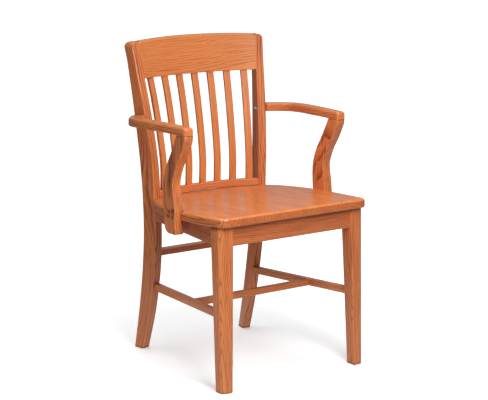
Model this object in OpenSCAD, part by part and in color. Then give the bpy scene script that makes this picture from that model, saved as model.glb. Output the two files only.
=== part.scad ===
// Oak library armchair: joined frame, slatted bow back, solid seat, open arms.
// Units are millimetres. The chair stands on z = 0 and faces -Y; +X is its left-to-right axis.

/* [Seat] */
// height of the seat's top at its front edge
seat_front_h = 448.6; // [420:1:470]
// how far the seat's top drops towards the back, in degrees
seat_pitch = 2.7; // [0:0.1:5]
// thickness of the seat board
seat_t = 24; // [18:1:30]
// half of the seat's greatest width, at the arm supports
seat_half_w = 237; // [220:1:260]
// front edge of the seat, measured forward of the datum line
seat_front = 227; // [210:1:245]

/* [Front legs] */
// outside face of the front legs from the middle
leg_out = 227.5; // [210:0.5:240]
// section of a front leg at its top
leg_top = 42.2; // [32:0.2:46]
// section of a front leg at the floor
leg_foot = 31.6; // [24:0.2:36]
// radius of the leg's outer front corner
leg_round = 15; // [4:1:18]

/* [Back posts] */
// thickness of a post across the chair
post_t = 24.1; // [18:0.1:28]
// turn of each post towards the middle of the back, in degrees
post_turn = 12.2; // [0:0.1:18]
// outward lean of each post, in degrees
post_lean = 2.3; // [0:0.1:5]
// height of the back at its top corners
back_h = 844.2; // [820:0.2:880]

/* [Back rails and slats] */
// how far the middle of the back bows behind its ends
bow = 29.6; // [15:0.2:40]
// height of the crest rail's bottom edge
crest_low = 747; // [720:1:780]
// thickness of the crest rail
crest_t = 19; // [14:1:24]
// spacing of the slats at the crest rail
slat_gap_top = 46.3; // [42:0.1:54]
// spacing of the slats at the lower rail
slat_gap_low = 46.3; // [42:0.1:52]
// width of one slat
slat_w = 19.2; // [14:0.2:22]
// thickness of one slat
slat_t = 9; // [6:0.5:11]

/* [Arms] */
// height of the arm's top face at the front
arm_h = 660; // [630:1:690]
// thickness of an arm
arm_t = 22.5; // [18:0.5:28]
// outside face of the arm supports from the middle
support_out = 253.5; // [245:0.5:262]
// thickness of an arm support
support_t = 26.3; // [22:0.1:30]

/* [Aprons and stretchers] */
// bottom edge of the aprons
apron_low = 373; // [360:1:385]
// thickness of the aprons
apron_t = 19; // [16:1:24]
// bottom of the side stretchers at the front legs
side_str_low = 187.3; // [160:0.5:220]
// section of the side and cross stretchers
str_w = 18; // [15:0.5:24]
// bottom of the rear stretcher
rear_str_low = 269.5; // [240:0.5:300]

/* [Hidden] */
$fn = 48;
y_mid = 20.1;        // datum to the middle of the chair's depth
tenon = 13;          // length of the ordinary tenons
wood_screw_d = 4.2;  // shank of the screws in the corner blocks
wood_head_d = 8;
wood_head_t = 2.5;
oak = [0.72, 0.36, 0.14];
oak_dark = [0.52, 0.24, 0.09];
steel = [0.75, 0.75, 0.78];
// sub-part to show

// ---------------------------------------------------------------- helpers
module placed() { translate([0, -y_mid, 0]) children(); }
// mirrors a left-hand piece to the right-hand side
module side(k) { if (k < 0) children(); else mirror([1, 0, 0]) children(); }
function lerp(a, b, t) = a + (b - a) * t;
// smooth curve through points [[u, v], ...] given at even or uneven u
function seg(p, u, i = 0) = (i >= len(p) - 2 || u < p[i + 1][0]) ? i : seg(p, u, i + 1);
function slope(p, i) = i == 0 ? (p[1][1] - p[0][1]) / (p[1][0] - p[0][0])
    : i == len(p) - 1 ? (p[i][1] - p[i - 1][1]) / (p[i][0] - p[i - 1][0])
    : (p[i + 1][1] - p[i - 1][1]) / (p[i + 1][0] - p[i - 1][0]);
function curve(p, u) = let (i = seg(p, u), h = p[i + 1][0] - p[i][0], t = (u - p[i][0]) / h)
    (2*t*t*t - 3*t*t + 1) * p[i][1] + (t*t*t - 2*t*t + t) * h * slope(p, i)
    + (3*t*t - 2*t*t*t) * p[i + 1][1] + (t*t*t - t*t) * h * slope(p, i + 1);

// ---------------------------------------------------------------- back posts
// front and rear curves of a post: [height, distance behind the datum]
post_f = [[0, 236], [120, 198.5], [240, 173], [340, 163.5], [430, 162.5], [520, 164.5],
          [610, 175], [700, 191], [780, 208], [850, 219.5]];
post_r = [[0, 268], [120, 242], [240, 221.5], [340, 211], [430, 208.5], [520, 211.5],
          [610, 219.5], [700, 229.5], [780, 240.5], [850, 250.5]];
post_pivot_z = 430;
module post_frame() {  // places a board drawn as [depth, height, thickness] as the left post
    translate([-148.9, 0, post_pivot_z]) rotate([0, -post_lean, 0]) translate([0, 0, -post_pivot_z])
        rotate([0, 0, post_turn]) rotate([90, 0, 90]) children();
}
module post_profile(n = 34) {
    top = back_h + 4;
    polygon(concat([for (i = [0:n]) let (z = top * i / n - 8 * (1 - i / n)) [curve(post_f, max(z, 0)), z]],
                   [for (i = [n:-1:0]) let (z = top * i / n - 8 * (1 - i / n)) [curve(post_r, max(z, 0)), z]]));
}
module post_board() {
    intersection() {
        post_frame() linear_extrude(post_t) post_profile();
        back_outline();
    }
}
// front view outline of the back: crowned top with rounded corners, cut level at the floor
crown = 6.5;
top_corner = 13;
module back_outline() {
    half = 218;
    r = ((half * half) + crown * crown) / (2 * crown);
    translate([0, 400, 0]) rotate([90, 0, 0]) linear_extrude(400) intersection() {
        translate([0, back_h + crown - r]) circle(r, $fn = 720);
        cx = half - 2 - top_corner;
        cz = back_h + 0.9 - top_corner;
        polygon(concat([[-240, 0], [240, 0], [240, 500], [half - 1.3, 815]],
                       [for (a = [0:10:90]) [cx + top_corner * cos(a), cz + top_corner * sin(a)]],
                       [[half - 60, back_h + 20], [60 - half, back_h + 20]],
                       [for (a = [90:-10:0]) [-cx - top_corner * cos(a), cz + top_corner * sin(a)]],
                       [[1.3 - half, 815], [-240, 500]]));
    }
}
module back_post() {
    color(oak) difference() {
        post_board();
        crest_tenon();
        lower_rail_tenon();
        rear_tenon();
        side_stretcher_tenon_rear();
        side_apron_tenon_rear();
        back_apron_tenon();
        arm_screw_shank();
    }
}
// screw through the post into the arm: place on the post [depth, height], sizes
arm_screw_at = [199.5, 640];
arm_screw_d = 5;
arm_screw_grip = 28;
arm_screw_head_d = 11;
arm_screw_head_t = 3.2;
module arm_screw_shank() {
    post_frame() translate([arm_screw_at[0], arm_screw_at[1], -arm_screw_grip])
        cylinder(d = arm_screw_d, h = arm_screw_grip + post_t);
}

// ---------------------------------------------------------------- back rails
function bow_r(h) = (h * h + bow * bow) / (2 * bow);
module bow_arc(h, y0, t) {  // plan of a bowed rail: front face through [+-h, y0]
    r = bow_r(h);
    translate([0, y0 + bow - r]) difference() {
        circle(r + t, $fn = 720);
        circle(r, $fn = 720);
        translate([-400, -r - 60]) square([800, r + r * cos(asin(min(1, (h + 30) / r))) + 56]);
    }
}
crest_tilt = 9.2;
crest_h_in = 185.3;
module crest_blank() {
    intersection() {
        translate([0, 202.2, crest_low]) rotate([-crest_tilt, 0, 0]) translate([0, 0, -30])
            linear_extrude(150) bow_arc(crest_h_in, 0, crest_t);
        back_outline();
        translate([-260, 100, crest_low]) cube([520, 250, 140]);
    }
}
module crest_tenon() {
    intersection() {
        translate([0, 207.2, crest_low]) rotate([-crest_tilt, 0, 0])
            linear_extrude(150) bow_arc(crest_h_in, 0, 9);
        translate([-crest_h_in - 11, 100, crest_low + 12]) cube([2 * crest_h_in + 22, 250, 72]);
    }
}
module crest_rail() {
    color(oak) difference() {
        union() {
            difference() {
                intersection() {
                    crest_blank();
                    translate([-192, 0, 0]) cube([384, 400, 900]);
                }
                for (k = [-1, 1]) side(k) post_board();
            }
            crest_tenon();
        }
        for (i = [0:6]) slat_tenon_high(i);
    }
}
rail_low = 431;
rail_h = 18.5;
rail_y = 163.5;
rail_h_in = 160;
module lower_rail_tenon() {
    intersection() {
        translate([0, 0, rail_low + 3]) linear_extrude(rail_h - 6) bow_arc(rail_h_in, rail_y + 5, 9);
        translate([-rail_h_in - 11, 100, 400]) cube([2 * rail_h_in + 22, 250, 80]);
    }
}
module lower_back_rail() {
    color(oak) difference() {
        union() {
            difference() {
                intersection() {
                    translate([0, 0, rail_low]) linear_extrude(rail_h) bow_arc(rail_h_in, rail_y, 18);
                    translate([-172, 0, 0]) cube([344, 400, 900]);
                }
                for (k = [-1, 1]) side(k) post_board();
            }
            lower_rail_tenon();
        }
        for (i = [0:6]) slat_tenon_low(i);
    }
}

// ---------------------------------------------------------------- slats
slat_low = rail_low + rail_h;
slat_rise = crest_low - slat_low;
function slat_x0(i) = (i - 3) * slat_gap_low;
function slat_x1(i) = (i - 3) * slat_gap_top;
function slat_y(x, h, y0) = let (r = bow_r(h)) y0 + bow - r + sqrt(r * r - x * x);
function slat_turn(i) = -asin(((slat_x0(i) + slat_x1(i)) / 2) / (bow_r(172) + 6));
// front face of a slat behind its own foot: [height above the lower rail, distance back]
slat_f = [[-10, 0.4], [0, 0], [70, -1.6], [160, 9.6], [250, 26.4], [297.5, 37.4], [312, 40.2]];
module slat_frame(i) {
    x0 = slat_x0(i);
    y0 = slat_y(x0, rail_h_in, rail_y) + 4.5;
    y1 = slat_y(slat_x1(i), crest_h_in, 202.2) + 4.5;
    dy = (y1 - y0) - 37.4;
    translate([x0, y0, slat_low]) rotate([0, 0, slat_turn(i)])
        rotate([-atan(dy / slat_rise), atan((slat_x1(i) - x0) / slat_rise), 0]) children();
}
module slat_strip(i, w, a, b, inset, n = 16) {
    slat_frame(i) translate([-w / 2, 0, 0]) rotate([90, 0, 90]) linear_extrude(w)
        polygon(concat([for (j = [0:n]) let (z = lerp(a, b, j / n)) [curve(slat_f, z) + inset, z]],
                       [for (j = [n:-1:0]) let (z = lerp(a, b, j / n)) [curve(slat_f, z) + slat_t - inset, z]]));
}
module slat_tenon_low(i) { slat_strip(i, slat_w - 4, -9, 1, 1.2, 3); }
module slat_tenon_high(i) { slat_strip(i, slat_w - 4, slat_rise - 4, slat_rise + 11, 1.2, 4); }
module slat(i) {
    color(oak) union() {
        intersection() {
            slat_strip(i, slat_w, -6, slat_rise + 12, 0);
            translate([-260, 100, slat_low]) cube([520, 250, slat_rise]);
        }
        slat_tenon_low(i);
        slat_tenon_high(i);
    }
}

// ---------------------------------------------------------------- seat
module seat_space(h, up = 0) {  // slab following the seat's slope; its top is the seat's top plus up
    translate([0, -224, seat_front_h + up]) rotate([-seat_pitch, 0, 0]) translate([0, 224, -h]) children();
}
module seat_plan() {
    r = 22;
    difference() {
        polygon(concat(
            [for (a = [0:7.5:90]) [-seat_half_w + 6 + r - r * cos(a), r - seat_front - r * sin(a)]],
            [for (a = [90:-7.5:0]) [seat_half_w - 6 - r + r * cos(a), r - seat_front - r * sin(a)]],
            [for (p = seat_edge) [p[0], p[1]]],
            [for (i = [len(seat_edge) - 1:-1:0]) [-seat_edge[i][0], seat_edge[i][1]]]));
        for (k = [-1, 1]) side(k) translate([-300, support_rear_y]) square([300 - support_in, support_gap]);
    }
}
// right edge of the seat from the front corner to the back rail
seat_edge = [[seat_half_w - 2, -140], [seat_half_w, -80], [seat_half_w, -20], [seat_half_w - 3, 20],
             [seat_half_w - 9, 58], [seat_half_w - 19, 95], [seat_half_w - 32, 128],
             [seat_half_w - 46, 152], [seat_half_w - 54, 161], [164, 166], [158, 186], [120, 202], [60, 211]];
support_in = support_out - support_t;
support_rear_y = -53.5;
support_gap = 60.5;
module seat_board() {
    seat_space(seat_t) linear_extrude(seat_t) seat_plan();
}
module seat() {
    color(oak) difference() {
        seat_board();
        for (k = [-1, 1]) side(k) post_board();
        for (k = [-1, 1]) side(k) support_screw_holes();
        seat_screw_set();
    }
}
module under_seat() {  // everything below the seat's underside
    seat_space(seat_t + 600) translate([-300, -300, 0]) cube([600, 700, 600]);
}

// ---------------------------------------------------------------- front legs
foot_front = 222;
top_front = 211;
module front_leg_blank() {
    h = 440;
    intersection() {
        rotate([90, 0, 0]) translate([0, 0, -300]) linear_extrude(600)
            polygon([[-leg_out, 0], [leg_foot - leg_out, 0], [leg_top - leg_out, h], [-leg_out, h]]);
        rotate([90, 0, 90]) translate([0, 0, -300]) linear_extrude(600)
            polygon([[-foot_front, 0], [leg_foot - foot_front, 0], [leg_top - top_front, h], [-top_front, h]]);
        front_leg_round();
        under_seat();
    }
}
module front_leg_round() {  // rounds the outer front corner along the leg's slight splay
    lean = atan((foot_front - top_front) / 440);
    translate([-leg_out, -foot_front, 0]) rotate([-lean, 0, 0]) translate([0, 0, -20])
        linear_extrude(520) union() {
            translate([leg_round, 0]) square([60, 90]);
            translate([0, leg_round]) square([90, 60]);
            translate([leg_round, leg_round]) circle(leg_round);
        }
}
module front_leg() {
    color(oak) difference() {
        front_leg_blank();
        front_apron_tenon();
        side_apron_tenon_front();
        side_stretcher_tenon_front();
    }
}

// ---------------------------------------------------------------- aprons
apron_face = 208;
module front_apron_tenon() {
    translate([-(leg_out - leg_top) - tenon, -apron_face + 5, apron_low + 6]) cube([tenon * 2, 8, 32]);
}
module front_apron() {
    color(oak_dark) difference() {
        union() {
            difference() {
                intersection() {
                    translate([-200, -apron_face, apron_low]) cube([400, apron_t, 90]);
                    under_seat();
                }
                for (k = [-1, 1]) side(k) front_leg_blank();
            }
            for (k = [-1, 1]) side(k) front_apron_tenon();
        }
        for (k = [-1, 1]) side(k) block_front_screws();
    }
}
// side aprons and side stretchers run from the front leg back and in to the post
side_turn = 6.7;
module side_line(x, y) { translate([x, y, 0]) rotate([0, 0, -side_turn]) children(); }
apron_x = -223;
module side_apron_tenon_front() {
    side_line(apron_x + 5, -190) translate([0, 20 - tenon, apron_low + 6]) cube([8, 2 * tenon, 32]);
}
module side_apron_tenon_rear() {
    side_line(apron_x + 6, -190) translate([0, 340, apron_low + 6]) cube([7, 32, 22]);
}
module side_apron() {
    color(oak_dark) difference() {
        union() {
            difference() {
                intersection() {
                    side_line(apron_x, -190) translate([0, -10, apron_low]) cube([apron_t, 375, 90]);
                    under_seat();
                }
                front_leg_blank();
                post_board();
            }
            side_apron_tenon_front();
            intersection() {
                side_apron_tenon_rear();
                under_seat();
            }
        }
        block_side_screws();
    }
}
back_apron_y = 167;
module back_apron_tenon() {
    translate([-172, back_apron_y + 6, apron_low + 5]) cube([40, 8, 22]);
}
module back_apron() {
    color(oak_dark) difference() {
        union() {
            difference() {
                intersection() {
                    translate([-170, back_apron_y, apron_low]) cube([340, apron_t, 60]);
                    under_seat();
                }
                for (k = [-1, 1]) side(k) post_board();
            }
            for (k = [-1, 1]) side(k) back_apron_tenon();
        }
        for (k = [-1, 1]) side(k) block_rear_screws();
    }
}

// ---------------------------------------------------------------- stretchers
str_drop = 12.4;
str_slope = atan(str_drop / 370);
module str_line(inset = 0) {  // runs back along a side stretcher from the front leg
    translate([-218, -200, side_str_low]) rotate([0, 0, -side_turn]) rotate([-str_slope, 0, 0])
        translate([inset, 0, inset]) children();
}
module side_stretcher_tenon_front() {
    str_line(3.5) translate([0, 20 - tenon, 0]) cube([str_w - 7, 2 * tenon, str_w - 6]);
}
module side_stretcher_tenon_rear() {
    str_line(4) translate([0, 370, 0]) cube([str_w - 8, 32, str_w - 7]);
}
module side_stretcher() {
    color(oak) difference() {
        union() {
            difference() {
                str_line() cube([str_w, 400, str_w + 0.8]);
                front_leg_blank();
                post_board();
                translate([-300, 200, 0]) cube([300, 200, 400]);
            }
            side_stretcher_tenon_front();
            side_stretcher_tenon_rear();
        }
        cross_tenon();
    }
}
cross_y = -39;
cross_low = 181;
module cross_tenon() {
    translate([-191, cross_y + 4.5, cross_low + 3.5]) cube([20, 9, 10]);
}
module side_stretcher_blank() { str_line() cube([str_w, 400, str_w + 0.8]); }
module cross_stretcher() {
    color(oak) union() {
        difference() {
            translate([-190, cross_y, cross_low]) cube([380, str_w, 17.4]);
            for (k = [-1, 1]) side(k) side_stretcher_blank();
        }
        for (k = [-1, 1]) side(k) cross_tenon();
    }
}
rear_str_y = 174.5;
module rear_tenon() {
    translate([-168, rear_str_y + 6, rear_str_low + 3.5]) cube([40, 17, 9]);
}
module rear_stretcher() {
    color(oak) union() {
        difference() {
            translate([-165, rear_str_y, rear_str_low]) cube([330, 30, 16]);
            for (k = [-1, 1]) side(k) post_board();
        }
        for (k = [-1, 1]) side(k) rear_tenon();
    }
}

// ---------------------------------------------------------------- arms
// plan of the left arm: outer edge from the front, then inner edge from the post, as [out, back]
arm_outer = [[257, -60], [261, 0], [265, 50], [267.8, 95], [266, 128], [259.5, 153], [248, 178],
             [231, 201], [214, 219], [200, 232]];
arm_inner = [[190, 180], [204, 167.5], [216, 154], [226, 139], [233.5, 122], [237, 100], [236, 60], [232, 0],
             [229, -60]];
arm_nose = [[227, -82], [227.2, -92], [231, -99], [238, -100.5], [246, -100.5], [252.5, -98], [255.3, -91],
            [256, -82]];
function catmull(a, b, c, d, t) = 0.5 * ((2 * b) + (c - a) * t + (2 * a - 5 * b + 4 * c - d) * t * t
    + (3 * b - a - 3 * c + d) * t * t * t);
// smooth open curve through points in the plane, n steps between neighbours
function through(p, n) = [for (i = [0:len(p) - 2], j = [0:n - 1])
    catmull(p[max(i - 1, 0)], p[i], p[i + 1], p[min(i + 2, len(p) - 1)], j / n)];
module arm_plan() {
    mirror([1, 0]) polygon(concat(through(arm_outer, 4), [[200, 232]], through(arm_inner, 4), arm_nose));
}
arm_top = [[-110, arm_h - 0.6], [-60, arm_h + 0.4], [0, arm_h + 0.6], [80, arm_h - 0.6], [150, arm_h - 3.6],
           [230, arm_h - 8.5]];
module arm_side() {
    polygon(concat([for (y = [-110:17:230]) [y, curve(arm_top, y)]],
                   [for (y = [230:-17:-110]) [y, curve(arm_top, y) - arm_t]]));
}
module arm_blank() {
    intersection() {
        translate([0, 0, arm_h - 60]) linear_extrude(90) arm_plan();
        translate([-320, 0, 0]) rotate([90, 0, 90]) linear_extrude(200) arm_side();
    }
}
module arm() {
    color(oak) difference() {
        arm_blank();
        post_frame() translate([0, 500, 0]) cube([400, 300, 200]);
        support_blank_top();
        arm_dowel_set();
        arm_screw_shank();
    }
}
module support_blank_top() {  // keeps the arm's underside flat where it sits on the support
    translate([-support_out - 5, -115, arm_h - arm_t - 20]) cube([support_t + 10, 60, 20 - 1.2]);
}

// ---------------------------------------------------------------- arm supports
sup_r = [[368, -2], [400, 1.3], [430, 3.8], [470, 7.2], [510, 5.4], [550, -8.8], [590, -32.8],
         [625, -52.5], [640, -59.5]];
sup_f = [[368, -50.5], [400, -50.4], [430, -50], [470, -45.6], [510, -39.6], [550, -53.5], [590, -78.6],
         [625, -96.8], [640, -99.8]];
sup_low = 380;
sup_top = arm_h - arm_t - 1.2;
module support_profile(n = 30) {
    difference() {
        polygon(concat([for (i = [0:n]) let (z = lerp(sup_low, sup_top, i / n)) [curve(sup_f, z), z]],
                       [for (i = [n:-1:0]) let (z = lerp(sup_low, sup_top, i / n)) [curve(sup_r, z), z]]));
        difference() {  // rounded lower rear corner
            translate([-20, sup_low - 1]) square([40, 21]);
            translate([-20, sup_low + 20]) circle(20);
        }
    }
}
module arm_support() {
    color(oak) difference() {
        translate([-support_out, 0, 0]) rotate([90, 0, 90]) linear_extrude(support_t) support_profile();
        support_screw_holes();
        arm_dowel_set();
    }
}
plug_y = [-38, -17.5];
plug_z = 425;
plug_d = 10;
plug_sunk = 2;        // the plugs sit this far inside their holes
screw_sunk = 4.5;     // depth of the screw heads behind the plugs
head_t = 3.5;
module support_screw_holes() {
    for (y = plug_y) translate([-support_out, y, plug_z]) rotate([0, 90, 0]) {
        translate([0, 0, -1]) cylinder(d = plug_d, h = 1 + screw_sunk + head_t);
        cylinder(d = 4.6, h = 55);
    }
}
module arm_support_screws() {
    color(steel) for (k = [-1, 1]) side(k) for (y = plug_y)
        translate([-support_out + screw_sunk, y, plug_z]) rotate([0, 90, 0]) {
            cylinder(d = 8.6, h = head_t);
            cylinder(d = 4.6, h = 50);
        }
}
module arm_support_plugs() {
    color(oak_dark) for (k = [-1, 1]) side(k) for (y = plug_y)
        translate([plug_sunk - support_out, y, plug_z]) rotate([0, 90, 0])
            cylinder(d = plug_d, h = screw_sunk - plug_sunk);
}
module arm_post_screws() {
    color(steel) for (k = [-1, 1]) side(k) {
        arm_screw_shank();
        post_frame() translate([arm_screw_at[0], arm_screw_at[1], post_t])
            cylinder(d = arm_screw_head_d, h = arm_screw_head_t);
    }
}
module arm_dowel_set() {
    for (y = [-85, -67]) translate([-support_out + support_t / 2, y, sup_top - 16]) cylinder(d = 8, h = 30);
}
module arm_dowels() { color(oak_dark) for (k = [-1, 1]) side(k) arm_dowel_set(); }

// ---------------------------------------------------------------- corner blocks
block_h = 24;
block_z = apron_low + 2;
module block_body() { translate([0, 0, block_z]) linear_extrude(block_h) children(); }
module corner_block_front() {
    color(oak_dark) difference() {
        block_body() polygon([[-112, -189], [-200, -189], [-230, -150], [-230, -84], [-186, -84]]);
        side_line(apron_x, -190) translate([-60, -40, 300]) cube([apron_t + 60, 400, 200]);
        front_leg_blank();
        block_front_screws();
        block_side_screws();
        seat_screw_set();
    }
}
module corner_block_rear() {
    color(oak_dark) difference() {
        block_body() polygon([[-230, 90], [-146, 90], [-92, back_apron_y], [-230, back_apron_y]]);
        side_line(apron_x, -190) translate([-60, -40, 300]) cube([apron_t + 60, 400, 200]);
        post_board();
        block_rear_screws();
        block_side_screws();
        seat_screw_set();
    }
}
block_screw_z = block_z + 12;
module block_screw(d) {  // head end at the origin, pointing along +Z
    cylinder(d = d, h = 32);
    cylinder(d = wood_head_d, h = wood_head_t);
}
module block_front_screws(d = wood_screw_d) {
    translate([-150, -172, block_screw_z]) rotate([90, 0, 0]) block_screw(d);
}
module block_side_screws(d = wood_screw_d) {
    side_line(apron_x + apron_t + 17, -190) for (y = [68, 318])
        translate([0, y, block_screw_z]) rotate([0, -90, 0]) block_screw(d);
}
module block_rear_screws(d = wood_screw_d) {
    translate([-128, back_apron_y - 17, block_screw_z]) rotate([-90, 0, 0]) block_screw(d);
}
module corner_block_screws() {
    color(steel) for (k = [-1, 1]) side(k) {
        block_front_screws();
        block_side_screws();
        block_rear_screws();
    }
}
module seat_screw_set(d = wood_screw_d) {
    for (k = [-1, 1]) side(k) for (p = [[-176, -140], [-152, 128]])
        translate([p[0], p[1], block_z]) { cylinder(d = d, h = 42); cylinder(d = wood_head_d, h = wood_head_t); }
}
module seat_screws() { color(steel) seat_screw_set(); }

// ---------------------------------------------------------------- assembly
placed() {
    seat();
    side(-1) back_post();  // back_post_left
    side(1) back_post();  // back_post_right
    crest_rail();
    lower_back_rail();
    slat(0);  // slat_1
    slat(1);  // slat_2
    slat(2);  // slat_3
    slat(3);  // slat_4
    slat(4);  // slat_5
    slat(5);  // slat_6
    slat(6);  // slat_7
    side(-1) front_leg();  // front_leg_left
    side(1) front_leg();  // front_leg_right
    front_apron();
    back_apron();
    side(-1) side_apron();  // side_apron_left
    side(1) side_apron();  // side_apron_right
    side(-1) side_stretcher();  // side_stretcher_left
    side(1) side_stretcher();  // side_stretcher_right
    cross_stretcher();
    rear_stretcher();
    side(-1) arm();  // arm_left
    side(1) arm();  // arm_right
    side(-1) arm_support();  // arm_support_left
    side(1) arm_support();  // arm_support_right
    side(-1) corner_block_front();  // corner_block_front_left
    side(1) corner_block_front();  // corner_block_front_right
    side(-1) corner_block_rear();  // corner_block_rear_left
    side(1) corner_block_rear();  // corner_block_rear_right
    arm_support_screws();
    arm_support_plugs();
    arm_post_screws();
    arm_dowels();
    corner_block_screws();
    seat_screws();
}
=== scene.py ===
"""Oak library armchair: the looks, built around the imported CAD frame.

Shapes are worked out in millimetres from the same datum as the CAD model, then placed in metres.
Every board is a mesh with real rounded edges. It carries "grain", the place inside the board that the
piece was cut from, so the oak runs the right way through it. The blocks, dowels, plugs and screws
keep their CAD shapes, with eased edges.
"""
import math
import random

import bmesh
import bpy
from mathutils import Matrix, Vector


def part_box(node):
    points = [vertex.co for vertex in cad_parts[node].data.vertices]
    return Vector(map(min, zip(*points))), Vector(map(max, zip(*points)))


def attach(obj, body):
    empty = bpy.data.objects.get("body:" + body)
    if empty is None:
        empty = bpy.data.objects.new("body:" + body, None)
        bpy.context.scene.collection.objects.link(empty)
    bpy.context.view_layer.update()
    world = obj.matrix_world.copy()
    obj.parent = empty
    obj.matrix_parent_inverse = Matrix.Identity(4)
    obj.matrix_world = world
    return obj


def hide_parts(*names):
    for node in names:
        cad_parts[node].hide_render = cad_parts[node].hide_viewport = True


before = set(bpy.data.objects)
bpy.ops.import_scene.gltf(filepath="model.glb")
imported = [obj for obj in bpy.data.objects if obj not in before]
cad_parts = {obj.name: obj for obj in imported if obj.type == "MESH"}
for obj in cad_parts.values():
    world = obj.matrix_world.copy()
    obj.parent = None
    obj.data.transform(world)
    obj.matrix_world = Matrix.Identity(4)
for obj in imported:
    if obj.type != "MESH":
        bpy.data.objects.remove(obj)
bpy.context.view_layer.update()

random.seed(11)
MM = 0.001
CROSS_FRONT = -39.0                                   # cross stretcher's front face from the datum
DATUM_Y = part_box("cross_stretcher")[0][1] / MM - CROSS_FRONT


# ------------------------------------------------------------------ curves
def lerp(a, b, t):
    return a + (b - a) * t


def hermite(points, u):
    """Smooth curve through (u, v) points, read at u."""
    last = len(points) - 1
    i = 0
    while i < last - 1 and u >= points[i + 1][0]:
        i += 1

    def slope(k):
        lo, hi = max(k - 1, 0), min(k + 1, last)
        return (points[hi][1] - points[lo][1]) / (points[hi][0] - points[lo][0])

    h = points[i + 1][0] - points[i][0]
    t = (u - points[i][0]) / h
    return ((2 * t**3 - 3 * t**2 + 1) * points[i][1] + (t**3 - 2 * t**2 + t) * h * slope(i)
            + (3 * t**2 - 2 * t**3) * points[i + 1][1] + (t**3 - t**2) * h * slope(i + 1))


def through(points, steps):
    """Smooth open curve through points in the plane, with steps between neighbours."""
    out = []
    last = len(points) - 1
    for i in range(last):
        a, b = Vector(points[max(i - 1, 0)]), Vector(points[i])
        c, d = Vector(points[i + 1]), Vector(points[min(i + 2, last)])
        for j in range(steps):
            t = j / steps
            out.append(0.5 * (2 * b + (c - a) * t + (2 * a - 5 * b + 4 * c - d) * t * t
                              + (3 * b - a - 3 * c + d) * t**3))
    return out + [Vector(points[-1])]


def at_fraction(curve, f):
    """The point at a fraction of a polyline's length."""
    spans = [(q - p).length for p, q in zip(curve, curve[1:])]
    want = f * sum(spans)
    for p, q, span in zip(curve, curve[1:], spans):
        if want <= span:
            return p.lerp(q, want / span)
        want -= span
    return curve[-1].copy()


def spread(lo, hi, count):
    return [lerp(lo, hi, i / count) for i in range(count + 1)]


# ------------------------------------------------------------------ lofted boards
ARC_STEPS = 4


def half_ring(b_edge, b_in, c0, c1, r0, r1, side_steps):
    """One side of a rounded rectangle from c0 to c1. b_in is +1 where the inside lies at greater b."""
    pts = []
    for k in range(ARC_STEPS + 1):
        t = math.radians(90 * k / ARC_STEPS)
        pts.append((b_edge + b_in * r0 * (1 - math.sin(t)), c0 + r0 * (1 - math.cos(t)),
                    math.sin(2 * t)))
    for k in range(1, side_steps):
        pts.append((b_edge, lerp(c0 + r0, c1 - r1, k / side_steps), 0.0))
    for k in range(ARC_STEPS + 1):
        t = math.radians(90 - 90 * k / ARC_STEPS)
        pts.append((b_edge + b_in * r1 * (1 - math.sin(t)), c1 - r1 * (1 - math.cos(t)),
                    math.sin(2 * t)))
    return pts


def end_rings(lo, hi, stations, r_lo, r_hi, scale):
    """Stations along the board with the inset of its rounded ends."""
    out = []
    if r_lo:
        for k in range(ARC_STEPS + 1):
            t = math.radians(90 - 90 * k / ARC_STEPS)
            out.append((lo + r_lo * (1 - math.sin(t)) * scale, r_lo * (1 - math.cos(t))))
    else:
        out.append((lo, 0.0))
    inner = [a for a in stations if lo + r_lo * scale * 1.2 < a < hi - r_hi * scale * 1.2]
    out += [(a, 0.0) for a in inner]
    if r_hi:
        for k in range(ARC_STEPS + 1):
            t = math.radians(90 * k / ARC_STEPS)
            out.append((hi - r_hi * (1 - math.sin(t)) * scale, r_hi * (1 - math.cos(t))))
    else:
        out.append((hi, 0.0))
    return out


def loft(name, stations, section, place, grain, ends=(0, 0), scale=1.0, sides=1,
         end_keep=(1, 1, 1, 1)):
    """A board: rounded sections (b0, b1, c0, c1, radii) at each station, closed by flat ends.

    radii are those of the corners b0c0, b0c1, b1c0 and b1c1. ends rounds the two ends, scale turns
    that rounding into the stations' own unit, and end_keep scales it on the b0, b1, c0 and c1 sides.
    sides is the number of steps along a section's long sides.
    """
    verts, grains, edges, faces = [], [], [], []
    rings = end_rings(stations[0], stations[-1], stations, ends[0], ends[1], scale)
    for a, inset in rings:
        b0, b1, c0, c1, radii = section(a)
        b0, b1 = b0 + inset * end_keep[0], b1 - inset * end_keep[1]
        c0, c1 = c0 + inset * end_keep[2], c1 - inset * end_keep[3]
        r = [max(x - inset, 0.35) for x in radii]
        near = half_ring(b0, 1, c0, c1, r[0], r[1], sides)
        far = half_ring(b1, -1, c0, c1, r[2], r[3], sides)
        for b, c, edge in near + far[::-1]:
            verts.append(Vector(place(a, b, c)))
            grains.append(Vector(grain(a, b, c)))
            # edge is 1 across rounded edges and rounded ends, where the oak paints a highlight
            edges.append(max(edge, min(1.0, inset / max(ends[0], ends[1], 0.1))))
    n = len(verts) // len(rings)
    for i in range(len(rings) - 1):
        for j in range(n):
            k = (j + 1) % n
            faces.append((i * n + j, i * n + k, (i + 1) * n + k, (i + 1) * n + j))
    top = (len(rings) - 1) * n
    for j in range(n // 2 - 1):
        q, q1 = n - 1 - j, n - 2 - j
        faces.append((j, q, q1, j + 1))
        faces.append((top + j, top + j + 1, top + q1, top + q))
    return piece(name, verts, faces, grains, edges)


# boards whose place in the log is chosen: the crest's pith lies below its bottom edge
BOARD_CUT = {"crest_rail_visual": Vector((0.8, 0.056, 0.0))}


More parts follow.
